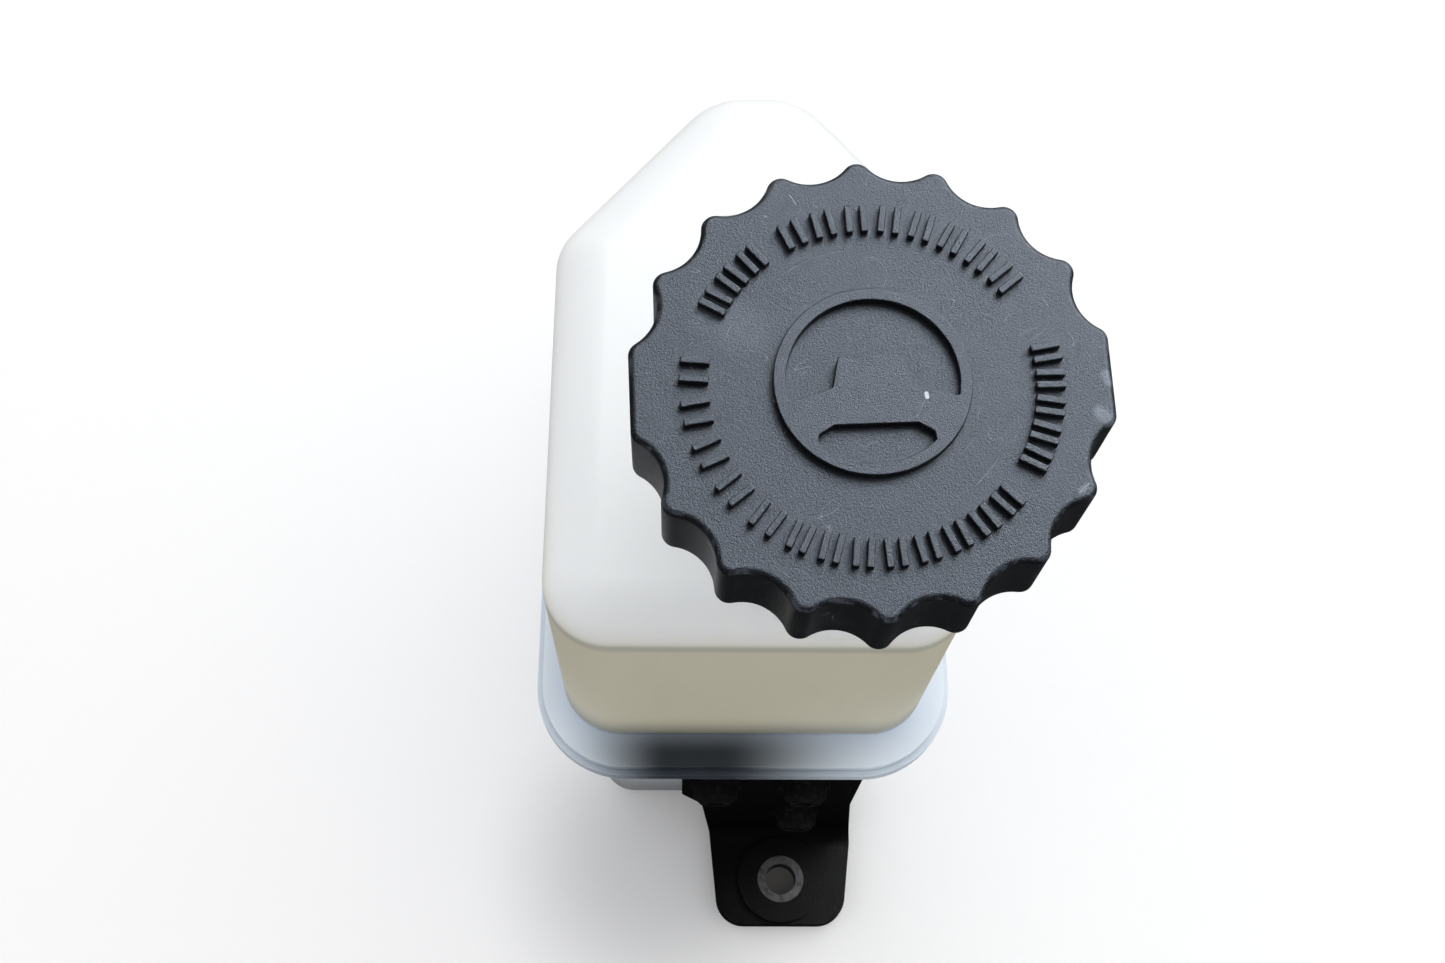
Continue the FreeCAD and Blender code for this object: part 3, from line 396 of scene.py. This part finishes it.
def capPlastic():
    made = Finish("capPlastic", **{"Specular Tint": black["tint"], "IOR": black["ior"]})
    spot = made.place(black["centre"], black["turn"])
    _, _, z = spot.parts()
    grain = made.noise(spot, perMm=4.5, detail=3.0, rough=0.65)
    soft = made.noise(spot, perMm=0.35, detail=3.0)
    haze = made.noise(spot, perMm=0.09, detail=4.0, rough=0.6).step(0.5, 0.75)
    speck = made.noise(spot, perMm=7.0, detail=1.0).step(0.66, 0.78)
    hair = (made.noise(spot, perMm=0.11, detail=1.0, warp=1.4) - 0.5).size().step(0.0035, 0.001)
    sparse = made.noise(spot, perMm=0.2, detail=1.0).step(0.56, 0.62)
    edge = z.step(black["top"] - 0.75, black["top"] - 0.45) * (
        1 - z.step(black["top"] - 0.2, black["top"] - 0.02))
    rubbed = edge * made.noise(spot, perMm=0.5).step(0.5, 0.66)
    hurt = strongest([made.arc(spot, *mark) for mark in marks["arcs"]]
                     + [made.stroke(spot, *mark) for mark in marks["lines"]])
    smear = strongest([made.stroke(spot, *mark) for mark in marks["scuffs"]])
    smudge = made.stroke(spot, *marks["smudge"])
    worn = (hurt * 0.6 + smear * (0.3 + grain * 0.7) * 0.5 + hair * sparse * 0.3
            + rubbed * 0.16 + speck * 0.4 + haze * 0.03 + smudge * soft * 0.12).clip()
    colour = made.mix(worn, black["plastic"], black["worn"])
    rough = grain * 0.16 + (black["rough"] - 0.08) - smudge * 0.04 + haze * 0.04
    return made.wear(colour, rough, made.bump(grain + soft * 0.3 - hurt * 0.8, deep=0.12))


def signPlastic():  # the cap's plastic on the raised sign, with its chip and its long scratch
    made = Finish("signPlastic", **{"Specular Tint": black["tint"], "IOR": black["ior"]})
    spot = made.place(black["centre"], black["turn"])
    grain = made.noise(spot, perMm=4.5, detail=3.0, rough=0.65)
    speck = made.noise(spot, perMm=7.0, detail=1.0).step(0.66, 0.78)
    worn = (speck * 0.35 + made.stroke(spot, *marks["signLine"]) * 0.6).clip()
    colour = made.mix(worn, black["plastic"], black["worn"])
    chip = made.stroke(spot, *marks["signChip"]).step(0.3, 0.6)
    colour = made.mix(chip, colour, black["chip"])
    return made.wear(colour, grain * 0.16 + (black["rough"] - 0.07),
                     made.bump(grain + made.noise(spot, perMm=0.35, detail=3.0) * 0.3, deep=0.11))


bracketLook = {"plastic": shade(6, 6, 7), "dust": shade(22, 24, 27), "dusty": 0.2, "rough": 0.5}


def bracketPlastic():
    made = Finish("bracketPlastic", **{"IOR": 1.48, "Specular IOR Level": 0.12})
    spot = made.place()
    grain = made.noise(spot, perMm=2.6, detail=3.0)
    dust = made.noise(spot, perMm=0.08, detail=4.0).step(0.45, 0.8)
    return made.wear(made.mix(dust * bracketLook["dusty"], bracketLook["plastic"], bracketLook["dust"]),
                     grain * 0.2 + bracketLook["rough"], made.bump(grain, deep=0.06))


stick = {"plastic": shade(226, 176, 44), "stain": shade(170, 112, 30), "stained": 0.6,
         "fluid": (118.0, 150.0), "rough": 0.3}


def stickPlastic():  # stained where it stands in the fluid
    made = Finish("stickPlastic", **{"Subsurface Weight": 0.08, "Subsurface Scale": 0.002})
    spot = made.place()
    _, _, z = spot.parts()
    stain = (1 - z.step(*stick["fluid"])) * made.noise(spot, perMm=0.12, detail=3.0).step(0.35, 0.75)
    return made.wear(made.mix(stain * stick["stained"], stick["plastic"], stick["stain"]),
                     made.noise(spot, perMm=0.2) * 0.2 + stick["rough"],
                     made.bump(made.noise(spot, perMm=2.5), deep=0.04))


zinc = {"bright": shade(200, 203, 206), "dull": shade(158, 158, 152), "spangle": 1.2, "rough": 0.2}


def zincSteel():
    made = Finish("zincSteel", Metallic=1.0)
    spot = made.place()
    spangle = made.node("ShaderNodeTexVoronoi", {}, {"Vector": spot, "Scale": zinc["spangle"]})
    dull = made.noise(spot, perMm=0.5, detail=4.0)
    return made.wear(made.mix(dull.step(0.4, 0.75), zinc["bright"], zinc["dull"]),
                     spangle * 0.15 + dull * 0.2 + zinc["rough"], made.bump(dull, deep=0.03))


# small pieces: two colours in blotches, what makes the blotches and how sharp they are, roughness and how
# much it varies, what makes the grain (None: the blotches do) and how deep it is
looks = {
    "filterPlastic": {
        "clean": shade(222, 218, 200), "worn": shade(206, 200, 178), "blotch": (0.12, 3.0), "edge": None,
        "rough": 0.4, "uneven": 0.15, "grain": (2.5,), "deep": 0.04,
        "set": {"Subsurface Weight": 0.1, "Subsurface Scale": 0.002}},
    "filterCloth": {
        "clean": shade(226, 222, 200), "worn": shade(184, 170, 132), "blotch": (0.3, 3.0),
        "edge": (0.4, 0.8), "rough": 0.55, "uneven": 0.2, "grain": (6.0,), "deep": 0.03, "set": {}},
    "rubber": {
        "clean": shade(34, 34, 35), "worn": shade(62, 62, 63), "blotch": (0.4, 4.0), "edge": (0.5, 0.8),
        "rough": 0.65, "uneven": 0.2, "grain": (3.5, 3.0), "deep": 0.05, "set": {}},
    "felt": {
        "clean": shade(196, 192, 180), "worn": shade(150, 146, 134), "blotch": (4.0, 4.0, 0.7, 2.0),
        "edge": None, "rough": 0.85, "uneven": 0.1, "grain": None, "deep": 0.15, "set": {}},
    "springSteel": {
        "clean": shade(176, 178, 182), "worn": shade(140, 140, 142), "blotch": (1.6, 3.0), "edge": None,
        "rough": 0.25, "uneven": 0.2, "grain": None, "deep": 0.02, "set": {"Metallic": 1.0}},
    "brass": {
        "clean": shade(214, 178, 104), "worn": shade(166, 128, 66), "blotch": (0.6, 4.0),
        "edge": (0.4, 0.75), "rough": 0.2, "uneven": 0.25, "grain": None, "deep": 0.03,
        "set": {"Metallic": 1.0}},
    "dullSteel": {
        "clean": shade(84, 84, 86), "worn": shade(58, 55, 52), "blotch": (0.7, 4.0), "edge": (0.4, 0.75),
        "rough": 0.5, "uneven": 0.25, "grain": None, "deep": 0.04, "set": {"Metallic": 0.5}},
    "blackSteel": {
        "clean": shade(12, 12, 13), "worn": shade(30, 29, 29), "blotch": (0.9, 4.0), "edge": (0.45, 0.75),
        "rough": 0.5, "uneven": 0.2, "grain": None, "deep": 0.03, "set": {"Specular IOR Level": 0.2}},
}


def smallFinish(name):
    look = looks[name]
    made = Finish(name, **look["set"])
    spot = made.place()
    blotch = made.noise(spot, *look["blotch"])
    worn = blotch.step(*look["edge"]) if look["edge"] else blotch
    grain = made.noise(spot, *look["grain"]) if look["grain"] else blotch
    return made.wear(made.mix(worn, look["clean"], look["worn"]),
                     blotch * look["uneven"] + look["rough"], made.bump(grain, look["deep"]))


finishes = {
    "upper_shell": milkyPlastic(), "lower_shell": sumpPlastic(), "cap": capPlastic(),
    "bracket": bracketPlastic(), "dipstick": stickPlastic(), "filter_mesh": smallFinish("filterCloth"),
    "cap_breather": smallFinish("felt"), "bypass_spring": smallFinish("springSteel"),
    "bracket_inserts": smallFinish("brass"), "bypass_disc": zincSteel(),
    "foot_sleeve": smallFinish("dullSteel"), "bracket_screws": smallFinish("blackSteel"),
}
finishes["dipstick_keeper"] = finishes["cap"]
finishes["bracket_washers"] = finishes["bracket_screws"]
finishes.update(dict.fromkeys(("baffle_plate", "filter_base", "filter_cage", "filter_head"),
                              smallFinish("filterPlastic")))
finishes.update(dict.fromkeys(("filter_seal", "cap_gasket"), smallFinish("rubber")))
for name, material in finishes.items():
    nodes[name].data.materials.clear()
    nodes[name].data.materials.append(material)
print("finishes given to", len(finishes), "nodes")

# raised steering wheel sign on the cap
sign = {
    "top": 206.25, "sunk": 204.6, "edge": 0.16, "rimOut": 12.95, "rimIn": 11.3, "steps": 96,
    "spokeIn": -0.9, "spokeEnd": -2.5, "hubTop": 3.4, "hubTopHalf": 4.4, "hubLowHalf": 5.3,
    "upperSteps": 60, "upperTip": 0.35, "upperRounds": [0.55, 0.6, 0.6, 0.55],
    "lowerTop": -6.0, "lowerHalf": 5.4, "lowerSide": 7.5, "lowerSideY": -7.3, "lowerGap": 1.0,
    "lowerSteps": 40, "lowerTip": 0.25, "lowerRounds": [0.5, 0.5, 0.5, 0.5],
}
capSpot = Matrix.Translation(black["centre"]) @ Matrix.Rotation(math.radians(black["turn"]), 4, "Z")


def arcPoints(radius, low, high, steps):
    return [(radius * math.cos(low + (high - low) * i / steps),
             radius * math.sin(low + (high - low) * i / steps)) for i in range(steps + 1)]


def softened(points, radii, steps=5):  # polygon with each corner rounded by its own radius
    made = []
    for i, radius in enumerate(radii):
        here, last, after = (Vector(points[k % len(points)]) for k in (i, i - 1, i + 1))
        if not radius:
            made.append(tuple(here))
            continue
        into, out = (here - last).normalized(), (after - here).normalized()
        back = radius * math.tan(into.angle(out) / 2)
        a, b = here - into * back, here + out * back
        for k in range(steps + 1):
            t = k / steps
            made.append(tuple(a * (1 - t) ** 2 + here * 2 * t * (1 - t) + b * t ** 2))
    return made


def signOpening(low, high, steps, corners, tip, rounds):  # between the rim and the hub or spoke
    arc = arcPoints(sign["rimIn"], low, high, steps)
    return softened(arc + corners, [tip] + [0] * (len(arc) - 2) + [tip] + rounds)


def plateMesh(name, loops, low, high, edge):  # flat plate with holes and softened edges, in mm
    curve = bpy.data.curves.new(name, "CURVE")
    curve.dimensions, curve.fill_mode = "2D", "BOTH"
    curve.extrude, curve.bevel_depth, curve.bevel_resolution = (high - low) / 2 - edge, edge, 2
    curve.offset = -edge
    for loop in loops:
        run = curve.splines.new("POLY")
        run.points.add(len(loop) - 1)
        for point, (x, y) in zip(run.points, loop):
            point.co = (x, y, 0, 1)
        run.use_cyclic_u = True
    holder = bpy.data.objects.new(name, curve)
    scene.collection.objects.link(holder)
    bpy.context.view_layer.update()
    mesh = bpy.data.meshes.new_from_object(holder)
    bpy.data.objects.remove(holder)
    mesh.transform(Matrix.Translation((0, 0, (high + low) / 2)))
    body = bmesh.new()
    body.from_mesh(mesh)
    bmesh.ops.remove_doubles(body, verts=body.verts, dist=0.002)
    bmesh.ops.recalc_face_normals(body, faces=body.faces)
    body.to_mesh(mesh)
    body.free()
    return mesh


def ontoCap(mesh):  # from millimetres on the cap's axis to the cap's place
    mesh.transform(capSpot @ Matrix.Scale(mm, 4))
    return mesh


upperAngle = math.asin(sign["spokeEnd"] / sign["rimIn"])
upper = signOpening(upperAngle, math.pi - upperAngle, sign["upperSteps"],
                    [(-sign["hubLowHalf"], sign["spokeIn"]), (-sign["hubTopHalf"], sign["hubTop"]),
                     (sign["hubTopHalf"], sign["hubTop"]), (sign["hubLowHalf"], sign["spokeIn"])],
                    sign["upperTip"], sign["upperRounds"])
lowerAngle = math.atan2(sign["lowerSideY"] - sign["lowerGap"], sign["lowerSide"])
lower = signOpening(math.pi - lowerAngle, 2 * math.pi + lowerAngle, sign["lowerSteps"],
                    [(sign["lowerSide"], sign["lowerSideY"]), (sign["lowerHalf"], sign["lowerTop"]),
                     (-sign["lowerHalf"], sign["lowerTop"]), (-sign["lowerSide"], sign["lowerSideY"])],
                    sign["lowerTip"], sign["lowerRounds"])
ring = arcPoints(sign["rimOut"], 0, 2 * math.pi * (1 - 1 / sign["steps"]), sign["steps"] - 1)
signFinish = signPlastic()
wheel = link("steering_sign", ontoCap(plateMesh("steering_sign", [ring, upper, lower], sign["sunk"],
                                                sign["top"], sign["edge"])), signFinish)
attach(wheel, "cap")

# ring of raised bars on the cap
bars = {
    "radius": 23.15, "length": 3.9, "width": 0.95, "apart": 0.45, "high": 1.1, "sunk": 0.4,
    "edge": 0.16, "edgeSteps": 3,
    "groups": (  # from and to in degrees, number of pairs
        (149.0, 129.5, 3), (113.5, 37.0, 8), (174.0, 231.0, 5), (243.0, 314.0, 8), (331.0, 368.0, 5)),
}


def tree(name, numbers):
    made = bpy.data.node_groups.new(name, "GeometryNodeTree")
    made.interface.new_socket("Geometry", in_out="INPUT", socket_type="NodeSocketGeometry")
    for word in numbers:
        made.interface.new_socket(word, in_out="INPUT", socket_type="NodeSocketFloat")
    made.interface.new_socket("Material", in_out="INPUT", socket_type="NodeSocketMaterial")
    made.interface.new_socket("Geometry", in_out="OUTPUT", socket_type="NodeSocketGeometry")
    return made


def wired(made, kind, inputs, **settings):
    node = made.nodes.new(kind)
    for prop, value in settings.items():
        setattr(node, prop, value)
    for name, value in inputs.items():
        if isinstance(value, bpy.types.NodeSocket):
            made.links.new(value, node.inputs[name])
        else:
            node.inputs[name].default_value = value
    return node.outputs[0]


def grown(holder, made, **inputs):  # runs a tree on an object and keeps the plain mesh
    modifier = holder.modifiers.new("made", "NODES")
    modifier.node_group = made
    for item in made.interface.items_tree:
        if item.in_out == "INPUT" and item.name in inputs:
            modifier[item.identifier] = inputs[item.name]
    return applied(holder)


def barTree():
    made = tree("raisedBars", ("Length", "Width", "High"))
    given = made.nodes.new("NodeGroupInput").outputs
    size = wired(made, "ShaderNodeCombineXYZ", {0: given["Length"], 1: given["Width"], 2: given["High"]})
    bar = wired(made, "GeometryNodeMeshCube", {"Size": size})
    facing = wired(made, "GeometryNodeInputNamedAttribute", {"Name": "facing"}, data_type="FLOAT")
    turn = wired(made, "ShaderNodeCombineXYZ", {2: facing})
    placed = wired(made, "GeometryNodeInstanceOnPoints", {
        "Points": given["Geometry"], "Instance": bar, "Rotation": turn})
    real = wired(made, "GeometryNodeRealizeInstances", {0: placed})
    coated = wired(made, "GeometryNodeSetMaterial", {0: real, "Material": given["Material"]})
    made.links.new(coated, made.nodes.new("NodeGroupOutput").inputs[0])
    return made


def barRing():
    spots, facings = [], []
    for low, high, count in bars["groups"]:
        step = math.radians((high - low) / (count - 1))
        for i in range(count):
            angle = math.radians(low) + step * i
            for side in (-0.5, 0.5):
                x, y = bars["radius"], side * bars["apart"] * abs(step) * bars["radius"]
                spots.append((x * math.cos(angle) - y * math.sin(angle),
                              x * math.sin(angle) + y * math.cos(angle),
                              black["top"] + (bars["high"] - bars["sunk"]) / 2))
                facings.append(angle)
    mesh = bpy.data.meshes.new("cap_bars")
    mesh.from_pydata(spots, [], [])
    mesh.attributes.new("facing", "FLOAT", "POINT").data.foreach_set("value", facings)
    holder = link("cap_bars", mesh)
    grown(holder, barTree(), Length=bars["length"], Width=bars["width"],
          High=bars["high"] + bars["sunk"], Material=signFinish)
    soft = holder.modifiers.new("edge", "BEVEL")
    soft.width, soft.segments, soft.limit_method = bars["edge"], bars["edgeSteps"], "ANGLE"
    applied(holder)
    ontoCap(holder.data)
    return holder


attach(barRing(), "cap")
print("cap's sign and bars made")

# quarter-turn ramps on the neck and lugs in the cap
lock = {
    "neckR": 21.0, "neckSunk": 0.4, "rampOut": 22.45, "rampZ": (196.2, 197.7), "rampRise": 0.7,
    "rampSpan": 76.0, "cupR": 22.7, "cupSunk": 0.5, "lugIn": 21.25, "lugZ": (193.0, 195.3),
    "lugSpan": 40.0, "start": 90.0, "steps": 24, "endSlope": 10, "endHigh": 0.12,
    "lowDraft": 0.25, "highDraft": 0.35,
}


def ribMesh(name, rootR, tipR, span, low, high, rise):  # two closed ribs opposite each other
    body = bmesh.new()
    for start in (lock["start"], lock["start"] + 180.0):
        rings = []
        for i in range(lock["steps"] + 1):
            t = i / lock["steps"]
            angle = math.radians(start + (t - 0.5) * span)
            taper = min(1.0, min(t, 1 - t) * lock["endSlope"] + lock["endHigh"])
            tip = rootR + (tipR - rootR) * taper
            lift = rise * (0.5 - t)
            section = [(rootR, low), (tip, low + lock["lowDraft"]), (tip, high - lock["highDraft"]),
                       (rootR, high)]
            rings.append([body.verts.new((r * math.cos(angle), r * math.sin(angle), z + lift))
                          for r, z in section])
        for a, b in zip(rings, rings[1:]):
            for k in range(4):
                body.faces.new((a[k], a[(k + 1) % 4], b[(k + 1) % 4], b[k]))
        body.faces.new(rings[0])
        body.faces.new(rings[-1][::-1])
    bmesh.ops.recalc_face_normals(body, faces=body.faces)
    mesh = bpy.data.meshes.new(name)
    body.to_mesh(mesh)
    body.free()
    return ontoCap(mesh)


ramps = link("neck_ramps", ribMesh("neck_ramps", lock["neckR"] - lock["neckSunk"], lock["rampOut"],
                                   lock["rampSpan"], *lock["rampZ"], lock["rampRise"]),
             finishes["upper_shell"])
lugs = link("cap_lugs", ribMesh("cap_lugs", lock["cupR"] + lock["cupSunk"], lock["lugIn"],
                                lock["lugSpan"], *lock["lugZ"], 0.0), finishes["cap"])
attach(ramps, "tank")
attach(lugs, "cap")

# bypass spring, the same coil as the model's, welded and given its own mesh
spring = {"lift": 0.003, "weld": 1e-6}


def weldedCopy(node, name):
    mesh = nodes[node].data.copy()
    body = bmesh.new()
    body.from_mesh(mesh)
    bmesh.ops.remove_doubles(body, verts=body.verts, dist=spring["weld"])
    body.to_mesh(mesh)
    body.free()
    return link(name, mesh, finishes[node])


coil = weldedCopy("bypass_spring", "spring_coil")
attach(coil, "tank")
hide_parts("bypass_spring")
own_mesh(coil)
print("moving details made")
